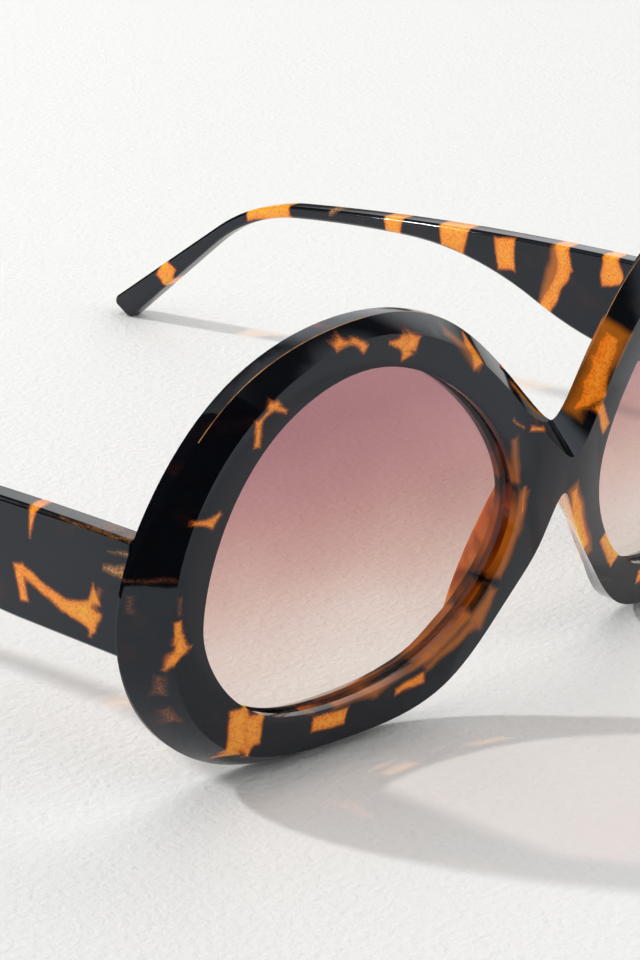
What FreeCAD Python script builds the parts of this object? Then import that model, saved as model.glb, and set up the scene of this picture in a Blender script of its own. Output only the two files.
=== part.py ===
import FreeCAD, Part
import math
import os
import Sketcher
from BOPTools import SplitAPI
from FreeCAD import Placement, Rotation, Vector

# Oversized sunglasses: a wrapped, bevelled front with a saddle bridge, two lenses, two nose pads
# and two folding temples on five-knuckle hinges. The wearer's right is at -X, the back at +Y, up is +Z.
# Every piece is drawn in the front's own frame, whose origin is the middle of the bridge's face on the
# lenses' centre line, and the whole is then stood on the rims and the temple tips.

doc = FreeCAD.newDocument("oversized_sunglasses")

# Driving dimensions, in millimetres and degrees
SIZES = [
    ("lens_width", 54.7, "lens opening, across"),
    ("lens_height", 49.6, "lens opening, upright"),
    ("lens_gap", 18.7, "between the two openings at the nose"),
    ("lens_thickness", 2.0, "lens"),
    ("lens_setback", 1.2, "front's face to the lens"),
    ("lens_bite", 0.8, "lens edge held in the groove"),
    ("groove_play", 0.05, "clearance of the lens in its groove"),
    ("wrap_angle", 7.6, "each rim turned back from straight across"),
    ("bridge_half_arc", 5.0, "half of the rounded middle of the wrap"),
    ("nose_thickness", 4.0, "front at the nose"),
    ("side_thickness", 6.0, "front at its outer edges"),
    ("face_width", 5.0, "rim's flat face, opening to ridge"),
    ("bevel_width", 4.0, "outer bevel at the temple side"),
    ("bevel_slope", 0.7, "bevel's run outwards for each mm of depth"),
    ("valley_height", 3.1, "bridge's top ridge above the centre line"),
    ("arch_drop", 2.7, "bridge's lower edge below the centre line"),
    ("shoulder_across", 3.9, "arch's shoulder from the middle"),
    ("shoulder_drop", 6.4, "arch's shoulder below the arch"),
    ("pad_length", 24.0, "nose pad along the rim"),
    ("pad_depth", 2.8, "nose pad behind the front"),
    ("pad_drop", 5.8, "nose pad's middle along the rim from the arch's shoulder"),
    ("temple_thickness", 3.4, "temple"),
    ("temple_inset", 1.6, "temple's outer face inside the front's edge"),
    ("temple_top", 6.0, "temple's top edge above the centre line at the hinge"),
    ("temple_fall", 4.7, "fall of the temple's top edge at the hinge, degrees"),
    ("temple_splay", 0.9, "temples opening out towards the back, degrees"),
    ("blade_height", 17.3, "temple at the hinge"),
    ("blade_length", 21.9, "temple's deep part"),
    ("ogee_rise", 18.0, "steepest rise of the lower edge behind the deep part, degrees"),
    ("ogee_fall", 8.0, "fall of the lower edge where the ogee ends, degrees"),
    ("arch_length", 103.3, "arched top edge, from the hinge to the ear bend"),
    ("arch_fall", 13.3, "fall of the top edge where the ear bend starts, degrees"),
    ("rod_height", 2.2, "temple where the ear bend starts, its slimmest"),
    ("bend_radius", 43.0, "bend over the ear"),
    ("tip_length", 35.0, "straight part of the tip"),
    ("tip_fall", 40.9, "fall of the tip, degrees"),
    ("tip_flare", 4.9, "widening of the tip, degrees"),
    ("tip_cut", 24.0, "slant of the tip's end from level, degrees"),
    ("tip_round", 1.2, "rounding of the tip's two corners"),
    ("edge_chamfer", 0.45, "chamfer along the temple's edges"),
    ("temple_play", 0.2, "gap between front and temple when open"),
    ("hinge_offset", 2.0, "hinge axis from the front's back and from the temple's inner face"),
    ("hinge_drop", 2.7, "hinge's middle below the centre line"),
    ("knuckle_radius", 1.3, "hinge barrel"),
    ("knuckle_height", 1.5, "one knuckle"),
    ("knuckle_play", 0.08, "gap between knuckles"),
    ("leaf_thickness", 1.0, "hinge leaf"),
    ("leaf_sink", 0.6, "hinge leaf let into the plastic"),
    ("leaf_play", 0.05, "clearance round the edge of a leaf in its pocket"),
    ("front_leaf_reach", 4.2, "front leaf, hinge axis to its end"),
    ("temple_leaf_reach", 11.0, "temple leaf, hinge axis to its end"),
    ("screw_radius", 0.7, "hinge screw's shank"),
    ("screw_play", 0.05, "running clearance round the shank"),
    ("head_radius", 1.15, "hinge screw's head"),
    ("head_height", 0.7, "hinge screw's head"),
    ("slot_width", 0.35, "slot in the screw's head"),
    ("slot_depth", 0.35, "slot in the screw's head"),
]
KNUCKLES = 5

sheet = doc.addObject("Spreadsheet::Sheet", "sizes")
for row, (alias, value, note) in enumerate(SIZES, start=1):
    sheet.set(f"A{row}", note)
    sheet.set(f"B{row}", str(value))
    sheet.setAlias(f"B{row}", alias)
doc.recompute()


def size(alias):
    return float(sheet.get(alias))


# Stations round the right lens, from the temple side over the top to the nose and back underneath:
# place across and up in half lens sizes, rim face and bevel as shares of face_width and bevel_width,
# and the side's slope as a share of bevel_slope. By the nose the side slopes inwards.
RIM_STATIONS = [
    (-1.000, -0.24, 1.00, 1.00, 1.0),
    (-0.909, 0.30, 1.06, 0.68, 1.0),
    (-0.612, 0.78, 0.93, 0.56, 1.0),
    (-0.082, 1.00, 0.90, 0.45, 1.0),
    (0.444, 0.79, 0.98, 0.70, 1.0),
    (0.846, 0.35, 1.10, 0.72, 1.1),
    (1.000, -0.08, 1.10, 0.30, 0.0),
    (0.879, -0.51, 1.02, 0.25, -0.9),
    (0.521, -0.87, 1.25, 0.30, -0.1),
    (-0.027, -1.00, 1.14, 0.55, 0.8),
    (-0.612, -0.89, 1.22, 0.75, 1.0),
    (-0.901, -0.58, 1.14, 0.92, 1.0),
]
# The station furthest to the nose shapes the opening only: there the front's outline crosses the bridge
NOSE_ROW = RIM_STATIONS.index(max(RIM_STATIONS))
# Bevel and slope, in the same shares, at the bridge's top, at its arch and on the arch's shoulders
VALLEY_BEVEL, VALLEY_SLOPE = 1.05, 1.5
ARCH_BEVEL, ARCH_SLOPE, SHOULDER_SLOPE = 0.25, -0.6, -0.8
# Tools that cut right through reach this far past what they cut
MARGIN = 5.0

LENS_X = -(size("lens_gap") + size("lens_width")) / 2.0
MIDDLE = Vector(0, 0, 0)
ACROSS = Vector(1, 0, 0)
UP = Vector(0, 0, 1)


def closed_curve(points, knots=None):
    curve = Part.BSplineCurve()
    if knots:
        curve.interpolate(Points=points, PeriodicFlag=True, Parameters=knots)
    else:
        curve.interpolate(Points=points, PeriodicFlag=True)
    return curve


def chord_knots(points):
    knots = [0.0]
    for here, there in zip(points, points[1:] + points[:1]):
        knots.append(knots[-1] + there.sub(here).Length)
    return knots


def lens_stations():
    # points on the right lens opening, each with its way out
    half_width = size("lens_width") / 2.0
    half_height = size("lens_height") / 2.0
    points = [Vector(LENS_X + row[0] * half_width, 0, row[1] * half_height) for row in RIM_STATIONS]
    curve = closed_curve(points)
    stations = []
    for point in points:
        along = curve.tangent(curve.parameter(point))[0]
        out = Vector(along.z, 0, -along.x)
        if out.dot(point - Vector(LENS_X, 0, 0)) < 0:
            out = out.negative()
        stations.append((point, out))
    return stations


def front_stations():
    # ridge points all round the front, right half then left, each with its way out, bevel and slope
    half = [(Vector(0, 0, size("valley_height")), UP, VALLEY_BEVEL, VALLEY_SLOPE)]
    ring = list(zip(STATIONS, RIM_STATIONS))
    for (point, out), row in ring[NOSE_ROW - 1::-1] + ring[:NOSE_ROW:-1]:
        half.append((point + out * (size("face_width") * row[2]), out, row[3], row[4]))
    arch = Vector(0, 0, -size("arch_drop"))
    across, drop = size("shoulder_across"), size("shoulder_drop")
    shoulder = arch - Vector(across, 0, drop)
    half.append((shoulder, Vector(drop, 0, -across).normalize(), ARCH_BEVEL, SHOULDER_SLOPE))
    half.append((arch, UP.negative(), ARCH_BEVEL, ARCH_SLOPE))
    other = [(Vector(-p.x, 0, p.z), Vector(-n.x, 0, n.z), b, s) for p, n, b, s in half[-2:0:-1]]
    return half + other


STATIONS = lens_stations()
OUTLINE = front_stations()
# stations of the right half between the bridge's top and its arch, which both lie on the middle
HALF_COUNT = len(OUTLINE) // 2
KNOTS = chord_knots([p for p, n, b, s in OUTLINE])
EDGE = closed_curve([p + n * (b * size("bevel_width")) for p, n, b, s in OUTLINE], KNOTS)
EDGE_BOX = EDGE.toShape().BoundBox
FRONT_HALF = max(p.x + n.x * b * size("bevel_width") for p, n, b, s in OUTLINE)

# A surface of the wrapped front is a pair: its depth behind the face at the nose and at the ends
FACE = (0.0, 0.0)
BACK = (size("nose_thickness"), size("side_thickness"))


def wrap_slope(surface):
    return math.tan(math.radians(size("wrap_angle"))) + (surface[1] - surface[0]) / FRONT_HALF


def wrap_y(across, surface):
    half_arc = size("bridge_half_arc")
    angle = math.atan(wrap_slope(surface))
    if abs(across) < half_arc:
        radius = half_arc / math.sin(angle)
        return surface[0] + radius - math.sqrt(radius * radius - across * across)
    return surface[0] + half_arc * math.tan(angle / 2.0) + wrap_slope(surface) * (abs(across) - half_arc)


def deeper(surface, depth):
    return (surface[0] + depth, surface[1] + depth)


def wrap_edges(surface, reach):
    half_arc = size("bridge_half_arc")
    points = [Vector(x, wrap_y(x, surface), 0) for x in (-reach, -half_arc, 0, half_arc, reach)]
    return [
        Part.LineSegment(points[0], points[1]).toShape(),
        Part.Arc(points[1], points[2], points[3]).toShape(),
        Part.LineSegment(points[3], points[4]).toShape(),
    ]


def wrap_layer(front, back):
    reach = FRONT_HALF + MARGIN
    ends = []
    for x in (-reach, reach):
        corner = Vector(x, wrap_y(x, front), 0)
        ends.append(Part.LineSegment(corner, Vector(x, wrap_y(x, back), 0)).toShape())
    edges = wrap_edges(front, reach) + wrap_edges(back, reach) + ends
    face = Part.Face(Part.Wire(Part.__sortEdges__(edges)))
    face.translate(Vector(0, 0, EDGE_BOX.ZMin - MARGIN))
    return face.extrude(Vector(0, 0, EDGE_BOX.ZLength + 2.0 * MARGIN))


def column(curve):
    face = Part.Face(Part.Wire(curve.toShape()))
    face.translate(Vector(0, -FRONT_HALF, 0))
    return face.extrude(Vector(0, 2.0 * FRONT_HALF, 0))


def lens_column(offset):
    return column(closed_curve([point + out * offset for point, out in STATIONS]))


def flank_rail(depth):
    points = []
    for p, n, b, s in OUTLINE:
        place = p + n * (s * size("bevel_slope") * depth)
        points.append(Vector(place.x, wrap_y(place.x, FACE) + depth, place.z))
    return closed_curve(points, KNOTS).toShape()


def flanked_layer(front, back):
    # a layer of the wrapped front, inside its edge and inside the bevel that runs round it
    blank = wrap_layer(front, back).common(column(EDGE))
    flank = Part.makeRuledSurface(flank_rail(-1.0), flank_rail(max(back) + 1.0))
    pieces = SplitAPI.slice(blank, [flank], "Split").Solids
    return max(pieces, key=lambda piece: piece.Volume)


def lens_shape():
    near = deeper(FACE, size("lens_setback"))
    layer = wrap_layer(near, deeper(near, size("lens_thickness")))
    return lens_column(size("lens_bite")).common(layer)


def groove_shape():
    # the lens is seated on the groove's rear wall and has play everywhere else
    play = size("groove_play")
    near = deeper(FACE, size("lens_setback"))
    layer = wrap_layer(deeper(near, -play), deeper(near, size("lens_thickness")))
    return lens_column(size("lens_bite") + play).common(layer)


def pad_shape():
    # a ball's cap on the back of the nasal rim, trimmed flush with the rim's two walls
    (lower, out), (upper, upper_out) = [station[:2] for station in OUTLINE[HALF_COUNT - 2:HALF_COUNT]]
    half = size("pad_length") / 2.0
    depth = size("pad_depth")
    ball = (half * half + depth * depth) / (2.0 * depth)
    centre = upper + (lower - upper).normalize() * size("pad_drop") - out * (size("face_width") / 2.0)
    centre.y = wrap_y(centre.x, BACK) + depth - ball
    cap = Part.makeSphere(ball, centre)
    return cap.common(flanked_layer(BACK, deeper(BACK, MARGIN))).cut(lens_column(0.0))


# The right hinge: where the temple's inner face meets the front's back, and the axis inside that corner
BACK_ANGLE = math.degrees(math.atan(wrap_slope(BACK)))
INNER_X = -(FRONT_HALF - size("temple_inset") - size("temple_thickness"))
CORNER = Vector(INNER_X, wrap_y(INNER_X, BACK), 0)


def hinge_axis():
    splay = math.radians(size("temple_splay"))
    back = math.radians(BACK_ANGLE)
    along_temple = Vector(-math.sin(splay), math.cos(splay), 0)
    along_back = Vector(math.cos(back), -math.sin(back), 0)
    run = size("hinge_offset") / math.sin(along_temple.getAngle(along_back))
    return CORNER + (along_temple + along_back) * run - UP * size("hinge_drop")


AXIS = hinge_axis()
FRONT_LEAF_PLACE = Placement(AXIS, Rotation(UP, -BACK_ANGLE))
TEMPLE_LEAF_PLACE = Placement(AXIS, Rotation(UP, size("temple_splay")))
LEAF_HEIGHT = KNUCKLES * size("knuckle_height") + (KNUCKLES - 1) * size("knuckle_play")
LEAF_FLOOR = -(size("hinge_offset") + size("leaf_sink"))


def leaf_pocket(low, high, place):
    # room for a leaf's plate, from one corner in plan to the other
    tall = LEAF_HEIGHT + 2.0 * size("leaf_play")
    pocket = Part.makeBox(high.x - low.x, high.y - low.y, tall, low - UP * (tall / 2.0))
    pocket.Placement = place.multiply(pocket.Placement)
    return pocket


def front_leaf_pocket():
    play = size("leaf_play")
    low = Vector(-size("knuckle_radius") - play, LEAF_FLOOR, 0)
    return leaf_pocket(low, Vector(size("front_leaf_reach") + play, 0, 0), FRONT_LEAF_PLACE)


def temple_leaf_pocket():
    low = Vector(LEAF_FLOOR, -2.0 * size("hinge_offset"), 0)
    return leaf_pocket(low, Vector(0, size("temple_leaf_reach") + size("leaf_play"), 0), TEMPLE_LEAF_PLACE)


def front_shape():
    front = flanked_layer(FACE, BACK)
    for tool in (lens_column(0.0), groove_shape(), front_leaf_pocket()):
        front = front.cut(tool)
        front = front.cut(tool.mirror(MIDDLE, ACROSS))
    return front


def run_end(point, length, start, end):
    # end of a straight or arched run that falls at one angle at its start and another at its end
    half_turn = (end - start) / 2.0
    chord = length * math.sin(half_turn) / half_turn if half_turn else length
    middle = start + half_turn
    return point + Vector(0, math.cos(middle), -math.sin(middle)) * chord


def run_edges(point, runs):
    edges = []
    for length, start, end in runs:
        last = run_end(point, length, start, end)
        via = run_end(point, length / 2.0, start, (start + end) / 2.0)
        run = Part.LineSegment(point, last) if start == end else Part.Arc(point, via, last)
        edges.append(run.toShape())
        point = last
    return edges, point


def below(fall):
    return Vector(0, -math.sin(fall), -math.cos(fall))


def temple_profile():
    # side view from the hinge end: arched top edge, ear bend and a tip cut at a slant
    names = ("temple_fall", "arch_fall", "tip_fall", "tip_cut", "ogee_rise", "ogee_fall")
    fall, bend, tip, cut, rise, calm = [math.radians(size(name)) for name in names]
    low_tip = tip + math.radians(size("tip_flare"))
    top = Vector(0, 0, size("temple_top"))
    low = top + below(fall) * size("blade_height")
    arch_edges, arch_end = run_edges(top, [(size("arch_length"), fall, bend)])
    bend_edges, top_end = run_edges(arch_end, [
        (size("bend_radius") * (tip - bend), bend, tip),
        (size("tip_length"), tip, tip),
    ])
    # the lower edge leaves the blade by an ogee of two arcs of one radius and goes on to the bend
    # in a third arc; the two radii are those that let all the arcs meet without a kink
    ogee = run_end(Vector(), fall + rise, fall, -rise) + run_end(Vector(), rise + calm, -rise, calm)
    arch = run_end(Vector(), bend - calm, calm, bend)
    gap = arch_end + below(bend) * size("rod_height") - run_end(low, size("blade_length"), fall, fall)
    ogee_radius = gap.cross(arch).x / ogee.cross(arch).x
    arch_radius = ogee.cross(gap).x / ogee.cross(arch).x
    low_edges, low_end = run_edges(low, [
        (size("blade_length"), fall, fall),
        (ogee_radius * (fall + rise), fall, -rise),
        (ogee_radius * (rise + calm), -rise, calm),
        (arch_radius * (bend - calm), calm, bend),
        ((size("bend_radius") - size("rod_height")) * (low_tip - bend), bend, low_tip),
    ])
    heading = run_end(Vector(), 1.0, low_tip, low_tip)
    end_line = Vector(0, math.cos(cut), math.sin(cut))
    low_tip_length = (top_end - low_end).cross(end_line).x / heading.cross(end_line).x
    tip_edges, tip_corner = run_edges(low_end, [(low_tip_length, low_tip, low_tip)])
    ends = [Part.LineSegment(top, low).toShape(), Part.LineSegment(top_end, tip_corner).toShape()]
    return Part.Face(Part.Wire(Part.__sortEdges__(arch_edges + bend_edges + low_edges + tip_edges + ends)))


def is_across(edge):
    return edge.BoundBox.XLength > size("temple_thickness") / 2.0


def temple_shape():
    temple = temple_profile().extrude(ACROSS * -size("temple_thickness"))
    tip_corners = sorted(filter(is_across, temple.Edges), key=lambda edge: edge.BoundBox.ZMin)[:2]
    temple = temple.makeFillet(size("tip_round"), tip_corners)
    long_edges = [edge for edge in temple.Edges if edge.BoundBox.YMax > 0.001 and not is_across(edge)]
    temple = temple.makeChamfer(size("edge_chamfer"), long_edges)
    temple.Placement = Placement(CORNER, Rotation(UP, size("temple_splay")))
    temple = temple.cut(wrap_layer(FACE, deeper(BACK, size("temple_play"))))
    return temple.cut(temple_leaf_pocket())


# Sketch sizes for the hinges, as expressions of the sheet
FLOOR = "-(sizes.hinge_offset + sizes.leaf_sink)"
PLATE = "-(sizes.hinge_offset + sizes.leaf_sink - sizes.leaf_thickness)"
BARREL = "sizes.knuckle_radius"
HEIGHT = f"({KNUCKLES} * sizes.knuckle_height + {KNUCKLES - 1} * sizes.knuckle_play)"
PITCH = "(sizes.knuckle_height + sizes.knuckle_play)"
HEAD_TOP = f"({HEIGHT} / 2 + sizes.head_height)"


def add_sketch(body, name, role):
    sketch = body.newObject("Sketcher::SketchObject", name)
    plane = next(plane for plane in body.Origin.OriginFeatures if plane.Role == role)
    sketch.AttachmentSupport = [(plane, "")]
    sketch.MapMode = "FlatFace"
    return sketch


def bind(sketch, constraint, expression):
    index = sketch.addConstraint(constraint)
    sketch.setExpression(f"Constraints[{index}]", expression)


def add_loop(sketch, corners):
    # a closed outline whose corners are pairs of expressions
    start = sketch.GeometryCount
    count = len(corners)
    points = [Vector(float(sketch.evalExpression(x)), float(sketch.evalExpression(y)), 0) for x, y in corners]
    for k in range(count):
        sketch.addGeometry(Part.LineSegment(points[k], points[(k + 1) % count]))
    for k, (across, up) in enumerate(corners):
        line = start + k
        sketch.addConstraint(Sketcher.Constraint("Coincident", line, 2, start + (k + 1) % count, 1))
        bind(sketch, Sketcher.Constraint("DistanceX", -1, 1, line, 1, points[k].x), across)
        bind(sketch, Sketcher.Constraint("DistanceY", -1, 1, line, 1, points[k].y), up)


def rectangle(left, right, low, high):
    return [(left, low), (right, low), (right, high), (left, high)]


def add_disc(sketch, radius):
    value = float(sketch.evalExpression(radius))
    disc = sketch.addGeometry(Part.Circle(MIDDLE, UP, value))
    sketch.addConstraint(Sketcher.Constraint("Coincident", disc, 3, -1, 1))
    bind(sketch, Sketcher.Constraint("Radius", disc, value), radius)


def add_extrusion(body, kind, name, sketch, length):
    feature = body.newObject(f"PartDesign::{kind}", name)
    feature.Profile = sketch
    feature.SideType = "Symmetric"
    feature.setExpression("Length", length)
    return feature


def hinge_leaf(name, plate, neck, slot_plane, other_knuckles):
    # a plate with a full-height barrel, slotted for the other leaf's knuckles and bored for the screw
    body = doc.addObject("PartDesign::Body", name)
    for part, corners in (("plate", plate), ("neck", neck)):
        outline = add_sketch(body, f"{name}_{part}_outline", "XY_Plane")
        add_loop(outline, corners)
        add_extrusion(body, "Pad", f"{name}_{part}", outline, HEIGHT)
    barrel = add_sketch(body, f"{name}_barrel_outline", "XY_Plane")
    add_disc(barrel, BARREL)
    add_extrusion(body, "Pad", f"{name}_barrel", barrel, HEIGHT)
    slots = add_sketch(body, f"{name}_slots_outline", slot_plane)
    for k in other_knuckles:
        low = f"{k} * {PITCH} - {HEIGHT} / 2 - sizes.knuckle_play"
        add_loop(slots, rectangle(PLATE, f"2 * {BARREL}", low, f"{low} + {PITCH} + sizes.knuckle_play"))
    add_extrusion(body, "Pocket", f"{name}_slots", slots, f"4 * {BARREL}")
    bore = add_sketch(body, f"{name}_bore_outline", "XY_Plane")
    add_disc(bore, "sizes.screw_radius + sizes.screw_play")
    add_extrusion(body, "Pocket", f"{name}_bore", bore, f"2 * {HEIGHT}")
    return body


def hinge_screw(name):
    body = doc.addObject("PartDesign::Body", name)
    half = add_sketch(body, f"{name}_half", "XZ_Plane")
    shank = "sizes.screw_radius"
    head = "sizes.head_radius"
    seat = f"{HEIGHT} / 2"
    add_loop(half, [("0", f"-{seat}"), (shank, f"-{seat}"), (shank, seat), (head, seat), (head, HEAD_TOP),
                    ("0", HEAD_TOP)])
    turned = body.newObject("PartDesign::Revolution", f"{name}_turned")
    turned.Profile = half
    turned.ReferenceAxis = (half, ["V_Axis"])
    turned.Angle = 360.0
    slot = add_sketch(body, f"{name}_slot_outline", "YZ_Plane")
    add_loop(slot, rectangle("-sizes.slot_width / 2", "sizes.slot_width / 2",
                             f"{HEAD_TOP} - sizes.slot_depth", f"{HEAD_TOP} + sizes.slot_depth"))
    add_extrusion(body, "Pocket", f"{name}_slot", slot, f"4 * {head}")
    return body


def shaped(name, shape):
    feature = doc.addObject("Part::Feature", name)
    feature.Shape = shape
    return feature


front_frame = shaped("front_frame", front_shape())
right_temple = shaped("right_temple", temple_shape())
plastic = [shaped("right_lens", lens_shape()), shaped("right_nose_pad", pad_shape()), right_temple]
front_leaf = hinge_leaf(
    "right_front_hinge_leaf",
    rectangle(f"-{BARREL}", "sizes.front_leaf_reach", FLOOR, PLATE),
    rectangle(f"-{BARREL}", BARREL, FLOOR, "0"),
    "YZ_Plane", range(1, KNUCKLES, 2))
temple_leaf = hinge_leaf(
    "right_temple_hinge_leaf",
    rectangle(FLOOR, PLATE, f"-{BARREL}", "sizes.temple_leaf_reach"),
    rectangle(FLOOR, "0", f"-{BARREL}", BARREL),
    "XZ_Plane", range(0, KNUCKLES, 2))
screw = hinge_screw("right_hinge_screw")


def stand():
    # lean of the front, found by halving, that brings the rims and the temple tips to one level
    pieces = [piece.Shape.tessellate(0.05)[0] for piece in (front_frame, right_temple)]
    low, high = -30.0, 30.0
    while high - low > 1e-6:
        lean = Rotation(ACROSS, (low + high) / 2.0)
        rims, tips = [min(lean.multVec(point).z for point in points) for points in pieces]
        if rims > tips:
            low = (low + high) / 2.0
        else:
            high = (low + high) / 2.0
    stood = [lean.multVec(point) for points in pieces for point in points]
    middle = (min(point.y for point in stood) + max(point.y for point in stood)) / 2.0
    return Placement(Vector(0, -middle, -min(rims, tips)), lean)


STAND = stand()
front_frame.Placement = STAND
for piece in plastic:
    piece.Placement = STAND
front_leaf.Placement = STAND.multiply(FRONT_LEAF_PLACE)
temple_leaf.Placement = STAND.multiply(TEMPLE_LEAF_PLACE)
screw.Placement = STAND.multiply(FRONT_LEAF_PLACE)

subparts = [front_frame]
for right in plastic + [front_leaf, temple_leaf, screw]:
    left = doc.addObject("Part::Mirroring", right.Name.replace("right", "left"))
    left.Source = right
    left.Normal = ACROSS
    subparts += [right, left]
doc.recompute()

for item in doc.Objects:
    if "Invalid" in item.State or "Error" in item.State:
        raise RuntimeError(f"{item.Name} failed to build")
os.makedirs("parts", exist_ok=True)
for piece in subparts:
    piece.Label = piece.Name
    if piece.Shape.isNull() or not piece.Shape.isValid() or len(piece.Shape.Solids) != 1:
        raise RuntimeError(f"{piece.Name} is not one sound solid")
    piece.Shape.exportStep(f"parts/{piece.Label}.step")
print("lean", STAND.Rotation.Angle, "axis", STAND.multVec(AXIS), "way", STAND.Rotation.multVec(UP))
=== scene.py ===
import math

import bmesh
import bpy
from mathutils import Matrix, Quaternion, Vector


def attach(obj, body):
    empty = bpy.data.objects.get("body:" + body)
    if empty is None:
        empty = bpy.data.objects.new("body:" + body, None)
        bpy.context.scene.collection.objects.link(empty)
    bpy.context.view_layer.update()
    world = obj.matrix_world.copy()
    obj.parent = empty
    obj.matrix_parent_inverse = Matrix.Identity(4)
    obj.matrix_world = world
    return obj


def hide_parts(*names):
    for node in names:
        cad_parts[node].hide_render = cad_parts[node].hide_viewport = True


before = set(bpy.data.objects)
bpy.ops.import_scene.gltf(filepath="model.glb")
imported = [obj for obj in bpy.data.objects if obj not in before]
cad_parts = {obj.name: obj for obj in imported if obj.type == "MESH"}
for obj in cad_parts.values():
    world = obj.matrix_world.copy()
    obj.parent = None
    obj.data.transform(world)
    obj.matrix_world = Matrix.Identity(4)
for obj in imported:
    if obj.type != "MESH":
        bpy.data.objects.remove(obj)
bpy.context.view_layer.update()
scene = bpy.context.scene
scene.view_settings.view_transform = "Standard"
print("frame loaded:", len(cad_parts), "nodes")

# how the front stands on the table: lean about X in radians, and the middle of its bridge in metres
stance = {"lean": 0.0776516, "bridge": (0.0, -0.0813102, 0.0320793)}
perMetre = 1000.0  # patterns are laid out in millimetres


# node helpers

def newMaterial(name):
    material = bpy.data.materials.new(name)
    material.use_nodes = True
    material.node_tree.nodes.clear()
    return material, material.node_tree


def addNode(tree, kind, settings=None, **inputs):
    # inputs go by name, with _ for a space, or by number as i0, i1; sockets are linked, values are set
    node = tree.nodes.new(kind)
    for key, value in (settings or {}).items():
        setattr(node, key, value)
    for key, value in inputs.items():
        numbered = key[0] == "i" and key[1:].isdigit()
        socket = node.inputs[int(key[1:]) if numbered else key.replace("_", " ")]
        if isinstance(value, bpy.types.NodeSocket):
            tree.links.new(value, socket)
        else:
            socket.default_value = value
    return node


def mathNode(tree, operation, *values, clamp=False):
    node = addNode(tree, "ShaderNodeMath", {"operation": operation, "use_clamp": clamp},
                   **{f"i{k}": value for k, value in enumerate(values)})
    return node.outputs[0]


def vectorNode(tree, operation, *values, result="Vector"):
    node = addNode(tree, "ShaderNodeVectorMath", {"operation": operation},
                   **{f"i{k}": value for k, value in enumerate(values)})
    return node.outputs[result]


def noiseNode(tree, point, values, result="Fac"):
    return addNode(tree, "ShaderNodeTexNoise", Vector=point, **values).outputs[result]


def rangeNode(tree, value, span=(0.0, 1.0), result=(0.0, 1.0), smooth=False):
    kind = "SMOOTHSTEP" if smooth else "LINEAR"
    node = addNode(tree, "ShaderNodeMapRange", {"interpolation_type": kind}, Value=value,
                   From_Min=span[0], From_Max=span[1], To_Min=result[0], To_Max=result[1])
    return node.outputs["Result"]


def rampNode(tree, value, stops):
    node = addNode(tree, "ShaderNodeValToRGB", Fac=value)
    ramp = node.color_ramp
    while len(ramp.elements) < len(stops):
        ramp.elements.new(1.0)
    for element, (place, colour) in zip(ramp.elements, stops):
        element.position = place
        element.color = (*colour, 1.0)
    return node.outputs["Color"]


def mixColour(tree, blend, share, first, second):
    node = addNode(tree, "ShaderNodeMix", {"data_type": "RGBA", "blend_type": blend},
                   i0=share, i6=first, i7=second)
    return node.outputs[2]


def frontCoordinates(tree):
    # object coordinates turned into the front's own upright frame, in millimetres
    lean = stance["lean"]
    bridge = Vector(stance["bridge"])
    turned = Vector((bridge.x,
                     bridge.y * math.cos(lean) + bridge.z * math.sin(lean),
                     bridge.z * math.cos(lean) - bridge.y * math.sin(lean)))
    place = addNode(tree, "ShaderNodeTexCoord").outputs["Object"]
    mapped = addNode(tree, "ShaderNodeMapping", {"vector_type": "POINT"}, Vector=place,
                     Location=-turned * perMetre, Rotation=(-lean, 0.0, 0.0),
                     Scale=(perMetre, perMetre, perMetre))
    return mapped.outputs["Vector"]


# patches are tapered bars with square ends, told as the distance to the nearest one
patchShape = {
    "runOn": 0.35,  # ends run on a little, so that bars join
    "melt": 0.9,  # how far neighbours flow together
    "farAway": 10.0,  # distance before the first bar
}


def makeShardGroup():
    group = bpy.data.node_groups.new("shardGap", "ShaderNodeTree")
    for name, kind in (("Point", "Vector"), ("Start", "Vector"), ("End", "Vector"),
                       ("Start Half", "Float"), ("End Half", "Float"), ("Nearest", "Float")):
        group.interface.new_socket(name, in_out="INPUT", socket_type="NodeSocket" + kind)
    group.interface.new_socket("Gap", in_out="OUTPUT", socket_type="NodeSocketFloat")
    given = group.nodes.new("NodeGroupInput").outputs
    reach = vectorNode(group, "SUBTRACT", given["End"], given["Start"])
    offset = vectorNode(group, "SUBTRACT", given["Point"], given["Start"])
    heading = vectorNode(group, "NORMALIZE", reach)
    length = vectorNode(group, "LENGTH", reach, result="Value")
    along = vectorNode(group, "DOT_PRODUCT", offset, heading, result="Value")
    across = vectorNode(group, "CROSS_PRODUCT", heading, offset)
    aside = vectorNode(group, "LENGTH", across, result="Value")
    share = mathNode(group, "DIVIDE", along, length, clamp=True)
    change = mathNode(group, "SUBTRACT", given["End Half"], given["Start Half"])
    half = mathNode(group, "MULTIPLY_ADD", share, change, given["Start Half"])
    halfLength = mathNode(group, "MULTIPLY_ADD", length, 0.5, patchShape["runOn"])
    fromMiddle = mathNode(group, "MULTIPLY_ADD", length, -0.5, along)
    endGap = mathNode(group, "SUBTRACT", mathNode(group, "ABSOLUTE", fromMiddle), halfLength)
    gap = mathNode(group, "MAXIMUM", mathNode(group, "SUBTRACT", aside, half), endGap)
    nearest = mathNode(group, "SMOOTH_MIN", gap, given["Nearest"], patchShape["melt"])
    addNode(group, "NodeGroupOutput", Gap=nearest)
    return group


shardGroup = makeShardGroup()


def shardGap(tree, point, shards):
    nearest = patchShape["farAway"]
    for start, end, startHalf, endHalf in shards:
        bar = addNode(tree, "ShaderNodeGroup", {"node_tree": shardGroup}, Point=point,
                      Start=(*start, 0.0), End=(*end, 0.0),
                      Start_Half=startHalf, End_Half=endHalf, Nearest=nearest)
        nearest = bar.outputs["Gap"]
    return nearest


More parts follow.
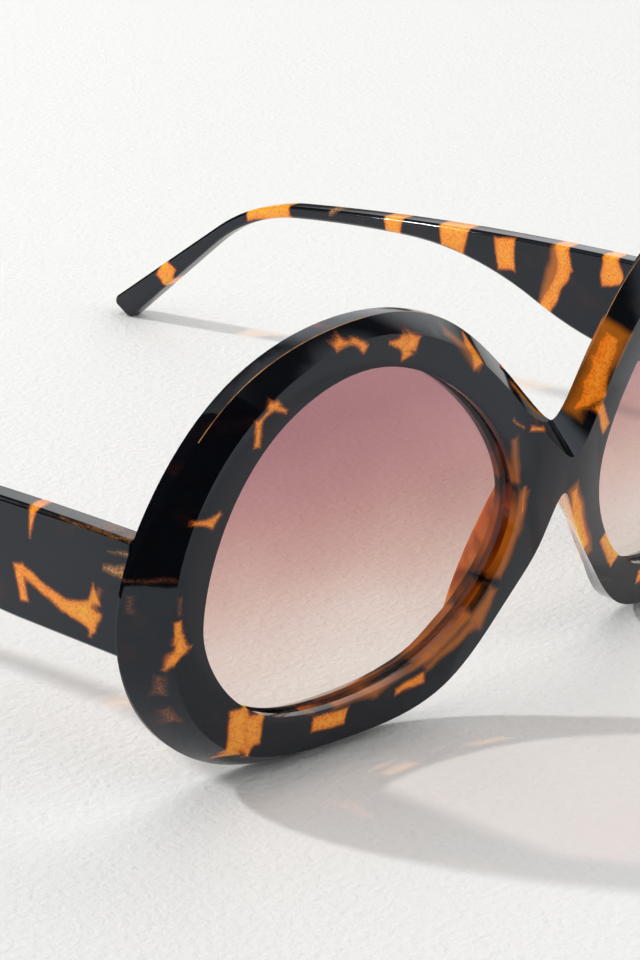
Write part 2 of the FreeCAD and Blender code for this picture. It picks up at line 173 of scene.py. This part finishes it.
def noiseShift(tree, point, noise, amount):
    shift = vectorNode(tree, "SUBTRACT", noiseNode(tree, point, noise, "Color"), (0.5, 0.5, 0.5))
    return vectorNode(tree, "MULTIPLY", shift, (2.0 * amount, 2.0 * amount, 0.0))


# tortoise acetate: reaches are distances from a bar's edge in millimetres, less than 0 inside it
tortoise = {
    "patch": [
        (0.0, (0.98, 0.42, 0.035)),  # amber in the middle
        (0.50, (0.90, 0.31, 0.020)),  # deeper amber
        (0.76, (0.22, 0.05, 0.012)),  # rust at the edge
        (0.94, (0.0035, 0.0040, 0.0060)),  # black ground
    ],
    "patchReach": (-1.0, 0.35),
    "bend": 0.7, "bendNoise": {"Scale": 0.22, "Detail": 1.0, "Roughness": 0.6},
    "fray": 0.10, "frayNoise": {"Scale": 3.0, "Detail": 3.0, "Roughness": 0.6},
    "rag": 0.7, "ragNoise": {"Scale": 4.0, "Detail": 3.0, "Roughness": 0.75},
    "grain": 0.7, "grainTint": (0.66, 0.40, 0.20, 1.0), "grainRange": (0.47, 0.66),
    "grainNoise": {"Scale": 2.6, "Detail": 2.0, "Roughness": 0.7},
    "smoke": (0.020, 0.006, 0.004, 1.0), "smokeRange": (0.56, 0.72),
    "smokeNoise": {"Scale": 0.11, "Detail": 6.0, "Roughness": 0.6},
    "haze": (0.45, 0.125, 0.008, 1.0), "hazeReach": (0.7, -0.9),
    "fleckReach": (0.4, -0.8), "fleckTurn": (0.12, 0.0, 0.0), "fleckScale": (3.0, 3.0, 4.5),
    "fleckNoise": {"Scale": 1.0, "Detail": 2.0, "Roughness": 0.6},
    "glow": 0.85, "glowReach": (0.0, -0.3), "shineColour": (1.0, 0.72, 0.46, 1.0),
    "roughness": (0.036, 0.084), "polishNoise": {"Scale": 0.25, "Detail": 4.0},
    "ripple": {"Strength": 0.03, "Distance": 0.0002}, "rippleNoise": {"Scale": 0.35, "Detail": 2.0},
    "shader": {"IOR": 1.48, "Specular_Tint": (0.78, 0.87, 1.0, 1.0),
               "Subsurface_Radius": (1.0, 0.45, 0.12), "Subsurface_Scale": 0.006},
}


def makeTortoise(name, look, across):
    material, tree = newMaterial(name)
    point = frontCoordinates(tree)
    parts = addNode(tree, "ShaderNodeSeparateXYZ", Vector=point).outputs
    flat = addNode(tree, "ShaderNodeCombineXYZ", X=parts[across], Y=parts["Z"]).outputs["Vector"]
    bent = vectorNode(tree, "ADD", flat, noiseShift(tree, point, tortoise["bendNoise"], tortoise["bend"]))
    frayed = vectorNode(tree, "ADD", bent, noiseShift(tree, point, tortoise["frayNoise"], tortoise["fray"]))
    # amber patches with ragged edges and a fine grain
    gap = shardGap(tree, frayed, look["shards"])
    rag = mathNode(tree, "SUBTRACT", noiseNode(tree, point, tortoise["ragNoise"]), 0.5)
    depth = mathNode(tree, "MULTIPLY_ADD", rag, tortoise["rag"], gap)
    patch = rampNode(tree, rangeNode(tree, depth, tortoise["patchReach"]), tortoise["patch"])
    grain = noiseNode(tree, point, tortoise["grainNoise"])
    grainShare = rangeNode(tree, grain, tortoise["grainRange"], (0.0, tortoise["grain"]))
    grained = mixColour(tree, "MULTIPLY", grainShare, patch, tortoise["grainTint"])
    # faint brown smoke in the black, rusty haze beside the patches, and coppery flecks
    smokeShare = rangeNode(tree, noiseNode(tree, point, tortoise["smokeNoise"]), tortoise["smokeRange"])
    smoked = mixColour(tree, "LIGHTEN", smokeShare, grained, tortoise["smoke"])
    hazeGap = shardGap(tree, frayed, look["hazes"])
    hazeShare = rangeNode(tree, hazeGap, tortoise["hazeReach"], smooth=True)
    hazed = mixColour(tree, "LIGHTEN", hazeShare, smoked, tortoise["haze"])
    streak = addNode(tree, "ShaderNodeMapping", Vector=point,
                     Rotation=tortoise["fleckTurn"], Scale=tortoise["fleckScale"]).outputs["Vector"]
    fleck = rampNode(tree, noiseNode(tree, streak, tortoise["fleckNoise"]), look["flecks"])
    fleckGap = shardGap(tree, frayed, look["marks"])
    fleckShare = rangeNode(tree, fleckGap, tortoise["fleckReach"], smooth=True)
    colour = mixColour(tree, "LIGHTEN", fleckShare, hazed, fleck)
    # polish: glossy all over, with light inside the amber
    amberShare = rangeNode(tree, gap, tortoise["glowReach"])
    glow = mathNode(tree, "MULTIPLY", amberShare, tortoise["glow"])
    polished = noiseNode(tree, point, tortoise["polishNoise"])
    roughness = rangeNode(tree, polished, result=tortoise["roughness"])
    ripple = noiseNode(tree, point, tortoise["rippleNoise"])
    bump = addNode(tree, "ShaderNodeBump", Height=ripple, **tortoise["ripple"])
    shader = addNode(tree, "ShaderNodeBsdfPrincipled", Base_Color=colour, Roughness=roughness,
                     Normal=bump.outputs["Normal"], Subsurface_Weight=glow, **tortoise["shader"])
    # amber lets some light through to the table, out by any face
    shadowRay = addNode(tree, "ShaderNodeLightPath").outputs["Is Shadow Ray"]
    leaving = addNode(tree, "ShaderNodeNewGeometry").outputs["Backfacing"]
    through = mathNode(tree, "MULTIPLY", shadowRay, mathNode(tree, "MAXIMUM", leaving, amberShare))
    clear = addNode(tree, "ShaderNodeBsdfTransparent", Color=tortoise["shineColour"])
    mixed = addNode(tree, "ShaderNodeMixShader", i0=through, i1=shader.outputs[0], i2=clear.outputs[0])
    addNode(tree, "ShaderNodeOutputMaterial", Surface=mixed.outputs[0])
    return material


# bars for patches (shards), haze and flecks (marks): start, end and the half widths there,
# in millimetres from the bridge, for the front across and up
frontLook = {
    "edge": 0.00028, "flecks": [(0.36, (0.05, 0.014, 0.007)), (0.64, (0.30, 0.10, 0.04))],
    "shards": [
        # right rim, over the top, then down the temple side and along the bottom
        ((-44.8, 29.3), (-43.6, 29.7), 0.4, 0.5), ((-43.6, 29.4), (-42.0, 29.1), 0.2, 0.2),
        ((-42.0, 29.1), (-40.3, 28.0), 0.3, 0.6), ((-35.6, 27.9), (-33.4, 27.4), 0.3, 1.2),
        ((-33.6, 28.4), (-32.7, 25.4), 0.4, 0.9), ((-32.8, 27.5), (-31.2, 26.8), 1.2, 1.0),
        ((-20.3, 24.4), (-19.4, 21.4), 1.2, 0.9), ((-55.3, 23.4), (-52.8, 22.1), 0.5, 0.3),
        ((-54.3, 23.4), (-56.6, 21.6), 0.5, 0.2), ((-57.0, 21.4), (-57.2, 18.2), 0.5, 0.5),
        ((-66.4, 9.3), (-63.8, 8.7), 0.3, 0.7), ((-64.0, 9.0), (-62.9, 9.7), 0.6, 0.3),
        ((-68.3, -4.4), (-68.3, -7.0), 0.7, 0.8), ((-68.2, -6.8), (-67.7, -9.2), 0.7, 1.1),
        ((-68.0, -8.2), (-66.4, -8.6), 0.7, 0.1), ((-68.2, -9.4), (-68.9, -11.0), 0.9, 0.2),
        ((-57.2, -20.6), (-57.2, -26.4), 1.6, 1.8), ((-54.6, -22.2), (-54.4, -26.4), 1.9, 1.3),
        ((-57.6, -26.6), (-58.5, -28.2), 1.0, 0.2), ((-55.4, -26.5), (-55.3, -27.8), 0.9, 0.3),
        ((-43.4, -26.5), (-38.3, -27.0), 1.2, 1.2), ((-28.8, -25.8), (-24.2, -25.0), 0.5, 0.8),
        # bridge and the two nasal walls
        ((-8.2, 9.4), (-4.8, 8.4), 0.4, 0.2), ((-11.6, 11.1), (-10.1, 10.0), 0.1, 0.1),
        ((-8.3, 0.0), (-8.6, -3.6), 0.2, 0.3), ((4.4, 8.3), (7.0, 10.6), 0.4, 1.4),
        ((7.0, 10.6), (8.9, 14.0), 1.4, 1.0), ((8.9, 14.0), (11.4, 17.2), 0.9, 0.8),
        ((6.8, 8.4), (9.5, 4.4), 0.9, 1.0), ((2.5, -3.3), (6.7, -13.9), 0.9, 1.7),
        # left rim
        ((24.0, 26.5), (29.5, 28.2), 0.6, 1.3), ((38.0, 29.0), (40.5, 25.6), 1.6, 0.4),
        ((51.0, 26.0), (54.5, 20.5), 0.5, 1.4), ((62.0, 13.0), (66.5, 10.0), 1.2, 0.5),
        ((67.5, -1.0), (69.5, -6.5), 0.6, 1.6), ((63.0, -16.0), (58.5, -20.0), 1.8, 0.5),
        ((48.0, -25.0), (42.0, -27.5), 1.5, 2.2), ((30.0, -26.0), (25.0, -24.5), 0.5, 1.1),
        ((17.0, -19.0), (13.5, -13.5), 1.4, 2.2),
    ],
    "hazes": [
        ((-11.4, 8.0), (-9.9, 1.5), 0.4, 0.5), ((-8.4, -0.6), (-9.4, -6.0), 0.7, 1.2),
        ((-9.4, -6.0), (-11.8, -12.4), 1.2, 0.7), ((-12.6, -14.6), (-15.2, -18.8), 0.8, 1.5),
        ((-15.2, -18.8), (-23.5, -23.4), 0.9, 0.5), ((-50.0, -22.6), (-44.0, -23.9), 0.3, 0.6),
        ((-40.0, -24.3), (-33.0, -24.2), 0.8, 1.0), ((-33.0, -24.2), (-22.8, -21.3), 1.0, 1.0),
        ((-22.8, -21.3), (-16.5, -17.0), 1.0, 0.9), ((-24.4, 26.4), (-19.0, 21.4), 0.4, 0.9),
        ((3.6, 8.0), (12.4, 18.4), 0.9, 1.8), ((2.2, -2.6), (7.6, -15.4), 1.2, 2.0),
        ((24.0, 27.6), (31.0, 27.4), 0.4, 1.2), ((61.0, 14.0), (67.4, 8.6), 1.0, 0.7),
        ((50.0, -24.6), (41.0, -27.6), 1.0, 2.0),
    ],
    "marks": [
        ((-72.4, 0.8), (-69.2, 1.9), 0.1, 0.1), ((-68.2, -0.9), (-67.9, -2.9), 0.4, 0.4),
        ((-72.2, -1.6), (-72.1, -3.4), 0.2, 0.3), ((-69.2, -12.6), (-68.7, -15.6), 0.4, 0.7),
        ((-67.6, -18.4), (-66.2, -20.2), 0.5, 0.8), ((71.0, 4.0), (68.0, 1.0), 0.3, 0.8),
        ((52.0, -24.0), (55.0, -22.5), 0.7, 0.3),
    ],
}
# and for the temples backwards and up
templeFlecks = [(0.36, (0.13, 0.034, 0.010)), (0.64, (0.72, 0.34, 0.11))]
rightTempleLook = {
    "edge": 0.00012, "flecks": templeFlecks,
    "shards": [
        ((33.0, 4.3), (33.2, 0.1), 0.9, 0.1), ((35.0, -5.3), (33.7, -9.4), 0.9, 0.7),
        ((34.2, -5.6), (26.6, -7.7), 0.8, 0.9), ((26.6, -7.7), (21.2, -7.3), 0.9, 1.9),
        ((21.1, -2.8), (20.6, -5.4), 0.1, 1.1), ((20.9, -6.6), (21.5, -9.8), 1.5, 0.2),
        ((52.0, 2.5), (54.5, -4.0), 1.5, 2.2), ((68.0, -1.5), (67.0, -5.5), 2.4, 1.2),
        ((84.0, -3.5), (83.0, -8.0), 1.8, 2.4), ((104.0, -7.0), (110.0, -9.5), 1.2, 1.4),
        ((128.0, -18.0), (131.0, -24.0), 2.2, 1.5), ((146.0, -33.0), (143.0, -37.0), 2.0, 2.4),
    ],
    "hazes": [
        ((20.0, -3.2), (20.8, -5.6), 0.1, 0.6), ((51.0, 2.8), (54.8, -4.4), 1.2, 1.8),
        ((85.0, -3.0), (82.8, -8.4), 1.2, 1.8),
    ],
    "marks": [
        ((19.4, 0.6), (14.0, 1.2), 0.4, 1.5), ((18.6, 3.2), (14.0, 4.0), 0.0, 0.4),
        ((27.7, 4.4), (15.5, 5.8), 0.0, 0.1),
    ],
}
leftTempleLook = {
    "edge": 0.00012, "flecks": templeFlecks,
    "shards": [
        ((93.1, -3.8), (92.9, -7.6), 2.3, 1.9), ((79.7, -1.1), (79.5, -6.3), 3.8, 2.5),
        ((68.3, -1.3), (67.5, -6.2), 2.3, 2.1), ((56.4, 1.5), (55.1, -2.4), 1.5, 1.7),
        ((55.1, -2.0), (58.6, -10.9), 1.4, 1.3), ((46.5, 3.3), (45.0, -1.7), 1.4, 2.4),
        ((127.5, -14.6), (117.3, -11.2), 1.5, 1.8), ((148.3, -31.8), (145.4, -33.2), 2.4, 2.4),
        ((30.0, 2.0), (27.0, -4.0), 1.5, 2.5), ((22.0, -8.0), (18.0, -10.5), 2.0, 0.6),
    ],
    "hazes": [
        ((56.8, 2.0), (58.8, -11.2), 1.2, 1.2), ((79.8, -0.6), (79.4, -6.8), 3.0, 1.8),
        ((30.4, 2.4), (26.6, -4.4), 1.2, 1.8),
    ],
    "marks": [
        ((38.0, -2.0), (34.0, -5.5), 0.8, 1.5), ((104.0, -6.0), (108.0, -8.0), 0.5, 1.0),
    ],
}

# top ridge between the side wall and the bevel: a painted highlight, an orange line painted where the lamp
# behind shines through
paintedRidgeLook = {
    "height": 0.0505, "bevelTilt": (-0.8, -0.35), "wallTilt": 0.3, "wider": 1.5,
    "streaks": {"Scale": 0.3, "Detail": 5.0, "Roughness": 0.6},
    "colours": [(0.3, (0.06, 0.02, 0.01)), (0.62, (0.60, 0.27, 0.08))],
    "shader": {"Roughness": 0.12, "IOR": 1.5},
}


def isRidge(edge):
    tilts = sorted(face.normal.y for face in edge.link_faces)
    low, high = paintedRidgeLook["bevelTilt"]
    if min(vert.co.z for vert in edge.verts) <= paintedRidgeLook["height"]:
        return False
    return low < tilts[0] < high and abs(tilts[1]) < paintedRidgeLook["wallTilt"]


def makePaintedRidgeGlow():
    material, tree = newMaterial("paintedGlowRidge")
    # orange streaks along the ridge are painted highlight, not the acetate's own colour
    streak = noiseNode(tree, frontCoordinates(tree), paintedRidgeLook["streaks"])
    colour = rampNode(tree, streak, paintedRidgeLook["colours"])
    shader = addNode(tree, "ShaderNodeBsdfPrincipled", Base_Color=colour, **paintedRidgeLook["shader"])
    addNode(tree, "ShaderNodeOutputMaterial", Surface=shader.outputs[0])
    return material


# lens openings: behind the lens the wall runs outwards along the bottom, clear of pads and hinges
openingLook = {
    "slope": 0.5, "grooveBack": 0.00105,
    "high": (0.026, 0.018), "aside": (0.018, 0.024),  # none and full, in metres
    "lensBackTilt": 0.9, "wallTilt": 0.3,
}


def smoothStep(value, none, full):
    share = min(max((value - none) / (full - none), 0.0), 1.0)
    return share * share * (3.0 - 2.0 * share)


def easeOpening(build, lensName):
    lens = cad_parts[lensName].data
    backs = [face for face in lens.polygons if face.normal.y > openingLook["lensBackTilt"]]
    back = max(backs, key=lambda face: face.area).normal
    middle = sum((vert.co for vert in lens.vertices), Vector()) / len(lens.vertices)
    wall = set()
    for face in build.faces:
        inwards = middle - face.calc_center_median()
        upright = abs(face.normal.y) < openingLook["wallTilt"]
        if upright and inwards.dot(face.normal) > 0.0 and abs(inwards.x) < abs(middle.x):
            wall.update(face.verts)
    for vert in wall:
        outwards = vert.co - middle
        depth = outwards.dot(back)
        outwards = (outwards - back * depth).normalized()
        share = smoothStep(vert.co.z, *openingLook["high"])
        share *= smoothStep(abs(vert.co.x), *openingLook["aside"])
        vert.co += outwards * (openingLook["slope"] * share * max(depth - openingLook["grooveBack"], 0.0))


# how copies of CAD pieces are merged and polished: angles in degrees, lengths in metres
polish = {
    "merge": 1e-6, "sliver": 5e-7, "flat": 0.6, "sharp": 24.0, "smooth": 40.0,
    "segments": 3, "profile": 0.6, "orderStep": 100000,
}


def mergedCopy(nodeName):
    build = bmesh.new()
    build.from_mesh(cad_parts[nodeName].data)
    bmesh.ops.remove_doubles(build, verts=build.verts, dist=polish["merge"])
    return build


def faceOrder(face):
    # by the three lowest corners: the bevel gives faces in no fixed order
    first, second, third = sorted(vert.index for vert in face.verts)[:3]
    return (first * polish["orderStep"] + second) * polish["orderStep"] + third


def standFor(build, nodeName, pieceName, body, materials):
    # turns a finished build into a piece in the node's place
    bmesh.ops.dissolve_degenerate(build, edges=build.edges, dist=polish["sliver"])
    bmesh.ops.triangulate(build, faces=[face for face in build.faces if len(face.verts) > 4])
    build.verts.index_update()
    build.faces.sort(key=faceOrder)
    mesh = bpy.data.meshes.new(pieceName)
    build.to_mesh(mesh)
    build.free()
    mesh.shade_smooth()
    mesh.set_sharp_from_angle(angle=math.radians(polish["smooth"]))
    for material in materials:
        mesh.materials.append(material)
    piece = bpy.data.objects.new(pieceName, mesh)
    scene.collection.objects.link(piece)
    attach(piece, body)
    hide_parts(nodeName)


def isSharp(edge):
    return len(edge.link_faces) == 2 and edge.calc_face_angle() > math.radians(polish["sharp"])


def polishPiece(nodeName, pieceName, body, width, *materials):
    # the CAD piece again with its sharp edges polished round, so that they catch the light
    build = mergedCopy(nodeName)
    bmesh.ops.dissolve_limit(build, angle_limit=math.radians(polish["flat"]),
                             verts=build.verts, edges=build.edges)
    if nodeName == "front_frame":
        easeOpening(build, "right_lens")
        easeOpening(build, "left_lens")
        build.normal_update()
    # edges on the top ridge get the painted highlight material, the other sharp edges are only rounded
    for paintedRidgeEdge in (True, False):
        sharp = [edge for edge in build.edges if isSharp(edge) and isRidge(edge) == paintedRidgeEdge]
        bmesh.ops.bevel(build, geom=sharp, offset=width * (paintedRidgeLook["wider"] if paintedRidgeEdge else 1.0),
                        offset_type="OFFSET", segments=polish["segments"], profile=polish["profile"],
                        affect="EDGES", clamp_overlap=True, material=1 if paintedRidgeEdge else -1)
    standFor(build, nodeName, pieceName, body, materials)


polishPiece("front_frame", "polishedFront", "front", frontLook["edge"],
            makeTortoise("frontTortoise", frontLook, "X"), makePaintedRidgeGlow())
for side, look in (("right", rightTempleLook), ("left", leftTempleLook)):
    polishPiece(f"{side}_temple", f"{side}PolishedTemple", f"{side}_temple_arm", look["edge"],
                makeTortoise(f"{side}TempleTortoise", look, "Y"))
print("tortoise pieces made")

# lenses: heights in millimetres, and what one face lets through there
lensLook = {
    # the drift and its noise make painted reflection blotches: the tint is shifted up and down by up to this
    # height
    "bottom": -24.8, "top": 24.8, "paintedReflectionDrift": 10.0, "paintedReflectionCloud": {"Scale": 0.05, "Detail": 2.0},
    "tints": [
        (-21.0, (0.967, 0.925, 0.893)), (-12.5, (0.934, 0.847, 0.815)), (-4.0, (0.847, 0.698, 0.658)),
        (4.5, (0.760, 0.559, 0.546)), (17.3, (0.653, 0.449, 0.474)),
    ],
    "mirror": {"Color": (1.0, 1.0, 1.0, 1.0), "Roughness": 0.02},
    "shine": 0.03, "edgeShine": 0.96, "edgePower": 5.0, "facingBlend": 0.5,
}


def makeLens():
    material, tree = newMaterial("gradientLens")
    point = frontCoordinates(tree)
    height = addNode(tree, "ShaderNodeSeparateXYZ", Vector=point).outputs["Z"]
    # painted reflection: noise moves the tint up and down in soft darker and lighter blotches
    paintedReflectionCloud = mathNode(tree, "SUBTRACT", noiseNode(tree, point, lensLook["paintedReflectionCloud"]), 0.5)
    paintedReflectionDrift = mathNode(tree, "MULTIPLY_ADD", paintedReflectionCloud, lensLook["paintedReflectionDrift"], height)
    bottom, top = lensLook["bottom"], lensLook["top"]
    stops = [((place - bottom) / (top - bottom), colour) for place, colour in lensLook["tints"]]
    tint = rampNode(tree, rangeNode(tree, paintedReflectionDrift, (bottom, top)), stops)
    clear = addNode(tree, "ShaderNodeBsdfTransparent", Color=tint)
    mirror = addNode(tree, "ShaderNodeBsdfGlossy", **lensLook["mirror"])
    facing = addNode(tree, "ShaderNodeLayerWeight", Blend=lensLook["facingBlend"]).outputs["Facing"]
    rise = mathNode(tree, "POWER", facing, lensLook["edgePower"])
    shine = mathNode(tree, "MULTIPLY_ADD", rise, lensLook["edgeShine"], lensLook["shine"])
    mixed = addNode(tree, "ShaderNodeMixShader", i0=shine, i1=clear.outputs[0], i2=mirror.outputs[0])
    addNode(tree, "ShaderNodeOutputMaterial", Surface=mixed.outputs[0])
    return material


# nose pads: clear amber acetate
padLook = {
    "swirl": {"Scale": 0.18, "Detail": 5.0, "Distortion": 1.2},
    "colours": [(0.35, (0.30, 0.08, 0.02)), (0.58, (0.72, 0.27, 0.06))],
    "shader": {"Roughness": 0.09, "IOR": 1.5, "Subsurface_Weight": 0.6,
               "Subsurface_Radius": (1.0, 0.4, 0.1), "Subsurface_Scale": 0.004},
}


def makePad():
    material, tree = newMaterial("amberPad")
    swirl = noiseNode(tree, frontCoordinates(tree), padLook["swirl"])
    colour = rampNode(tree, swirl, padLook["colours"])
    shader = addNode(tree, "ShaderNodeBsdfPrincipled", Base_Color=colour, **padLook["shader"])
    addNode(tree, "ShaderNodeOutputMaterial", Surface=shader.outputs[0])
    return material


# hinges: satin steel with fine drawn scratches
hingeLook = {
    "stretch": (9.0, 9.0, 0.5), "scratches": {"Scale": 1.0, "Detail": 6.0, "Roughness": 0.7},
    "colours": [(0.3, (0.36, 0.34, 0.32)), (0.6, (0.60, 0.58, 0.55))],
    "roughness": (0.22, 0.42), "bump": {"Strength": 0.15, "Distance": 0.00005},
}


def makeHinge():
    material, tree = newMaterial("satinHinge")
    stretched = addNode(tree, "ShaderNodeMapping", Vector=frontCoordinates(tree), Scale=hingeLook["stretch"])
    scratch = noiseNode(tree, stretched.outputs["Vector"], hingeLook["scratches"])
    colour = rampNode(tree, scratch, hingeLook["colours"])
    roughness = rangeNode(tree, scratch, result=hingeLook["roughness"])
    bump = addNode(tree, "ShaderNodeBump", Height=scratch, **hingeLook["bump"])
    shader = addNode(tree, "ShaderNodeBsdfPrincipled", Base_Color=colour, Metallic=1.0, Roughness=roughness,
                     Normal=bump.outputs["Normal"])
    addNode(tree, "ShaderNodeOutputMaterial", Surface=shader.outputs[0])
    return material


# front hinge leaves: cut off beside the knuckles, so that none shows through the lenses
leafLook = {"end": 0.06475}


def trimLeaf(side, sign, material):
    nodeName = f"{side}_front_hinge_leaf"
    build = mergedCopy(nodeName)
    bmesh.ops.bisect_plane(build, geom=[*build.verts, *build.edges, *build.faces], clear_outer=True,
                           plane_co=(sign * leafLook["end"], 0.0, 0.0), plane_no=(-sign, 0.0, 0.0))
    bmesh.ops.holes_fill(build, edges=[edge for edge in build.edges if edge.is_boundary])
    bmesh.ops.recalc_face_normals(build, faces=build.faces)
    standFor(build, nodeName, f"{side}TrimmedLeaf", "front", [material])


finishes = {"lens": makeLens(), "pad": makePad(), "hinge": makeHinge()}
trimLeaf("right", -1.0, finishes["hinge"])
trimLeaf("left", 1.0, finishes["hinge"])
for name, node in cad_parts.items():
    for slot, material in finishes.items():
        if slot in name or (slot == "hinge" and "screw" in name):
            node.data.materials.clear()
            node.data.materials.append(material)
print("lenses, pads and hinges finished")


def flatSheet(name, corners, material):
    mesh = bpy.data.meshes.new(name)
    mesh.from_pydata(corners, [], [(0, 1, 2, 3)])
    mesh.materials.append(material)
    sheet = bpy.data.objects.new(name, mesh)
    scene.collection.objects.link(sheet)
    return sheet


# table: pale, faintly grained
tableLook = {
    "half": 4.0, "grain": {"Scale": 760.0, "Detail": 4.0, "Roughness": 0.55},
    "bump": {"Strength": 0.6, "Distance": 0.0006},
    "shader": {"Base_Color": (0.87, 0.87, 0.855, 1.0), "Roughness": 1.0, "Specular_IOR_Level": 0.0},
}


def makeTable():
    material, tree = newMaterial("paleTable")
    place = addNode(tree, "ShaderNodeTexCoord").outputs["Object"]
    grain = noiseNode(tree, place, tableLook["grain"])
    bump = addNode(tree, "ShaderNodeBump", Height=grain, **tableLook["bump"])
    shader = addNode(tree, "ShaderNodeBsdfPrincipled", Normal=bump.outputs["Normal"], **tableLook["shader"])
    addNode(tree, "ShaderNodeOutputMaterial", Surface=shader.outputs[0])
    half = tableLook["half"]
    corners = [(-half, -half, 0.0), (half, -half, 0.0), (half, half, 0.0), (-half, half, 0.0)]
    table = flatSheet("table", corners, material)


makeTable()

# black card on the left, seen in the gloss only
cardLook = {"x": -0.165, "y": (-0.60, 0.25), "top": 0.25, "black": (0.004, 0.004, 0.005, 1.0)}


def makeCard():
    material, tree = newMaterial("blackCard")
    black = addNode(tree, "ShaderNodeBsdfDiffuse", Color=cardLook["black"])
    addNode(tree, "ShaderNodeOutputMaterial", Surface=black.outputs[0])
    x, top = cardLook["x"], cardLook["top"]
    near, far = cardLook["y"]
    card = flatSheet("card", [(x, near, 0.0), (x, far, 0.0), (x, far, top), (x, near, top)], material)
    card.visible_camera = False
    card.visible_diffuse = False
    card.visible_shadow = False
    card.visible_transmission = False


makeCard()

# light: a small lamp behind on the left, and a room that glows on four sides
lightLook = {
    "lamp": (-0.876, 1.605, 1.200), "watts": 98.0, "lampRadius": 0.06, "room": 0.06,
    # way, level, and the cosines off it where the glow starts and is full
    "glows": [
        ((0.750, 0.350, 0.560), 1.6, (0.82, 0.93)),  # bright wall on the right
        ((0.328, -0.772, 0.545), 1.5, (0.82, 0.95)),  # fill in front
        ((0.0, 0.2, 0.98), 1.05, (0.86, 0.97)),  # ceiling
        ((-0.80, 0.20, 0.57), 0.8, (0.60, 0.95)),  # weaker glow on the left
    ],
}


def makeLight():
    bulb = bpy.data.lights.new("lamp", "POINT")
    bulb.energy = lightLook["watts"]
    bulb.shadow_soft_size = lightLook["lampRadius"]
    lamp = bpy.data.objects.new("lamp", bulb)
    lamp.location = lightLook["lamp"]
    scene.collection.objects.link(lamp)
    world = bpy.data.worlds.new("room")
    world.use_nodes = True
    tree = world.node_tree
    tree.nodes.clear()
    way = addNode(tree, "ShaderNodeTexCoord").outputs["Generated"]
    strength = lightLook["room"]
    for toward, level, span in lightLook["glows"]:
        facing = vectorNode(tree, "DOT_PRODUCT", way, tuple(Vector(toward).normalized()), result="Value")
        glow = rangeNode(tree, facing, span, (0.0, level), smooth=True)
        strength = mathNode(tree, "ADD", glow, strength)
    sky = addNode(tree, "ShaderNodeBackground", Color=(1.0, 1.0, 1.0, 1.0), Strength=strength)
    addNode(tree, "ShaderNodeOutputWorld", Surface=sky.outputs[0])
    scene.world = world


makeLight()

# camera at the photograph's place: metres, degrees of roll, and the lens in millimetres
cameraLook = {
    "place": (-0.350050, -0.350554, 0.205756), "forward": (0.690, 0.622518, -0.369222),
    "roll": 1.0, "lens": 126.35, "nearest": 0.01,
}


def makeCamera():
    lens = bpy.data.cameras.new("camera")
    lens.lens = cameraLook["lens"]
    lens.clip_start = cameraLook["nearest"]
    camera = bpy.data.objects.new("camera", lens)
    camera.location = cameraLook["place"]
    camera.rotation_mode = "QUATERNION"
    aim = Vector(cameraLook["forward"]).to_track_quat("-Z", "Y")
    camera.rotation_quaternion = aim @ Quaternion((0.0, 0.0, 1.0), math.radians(cameraLook["roll"]))
    scene.collection.objects.link(camera)
    scene.camera = camera


makeCamera()
print("table, light and camera set")
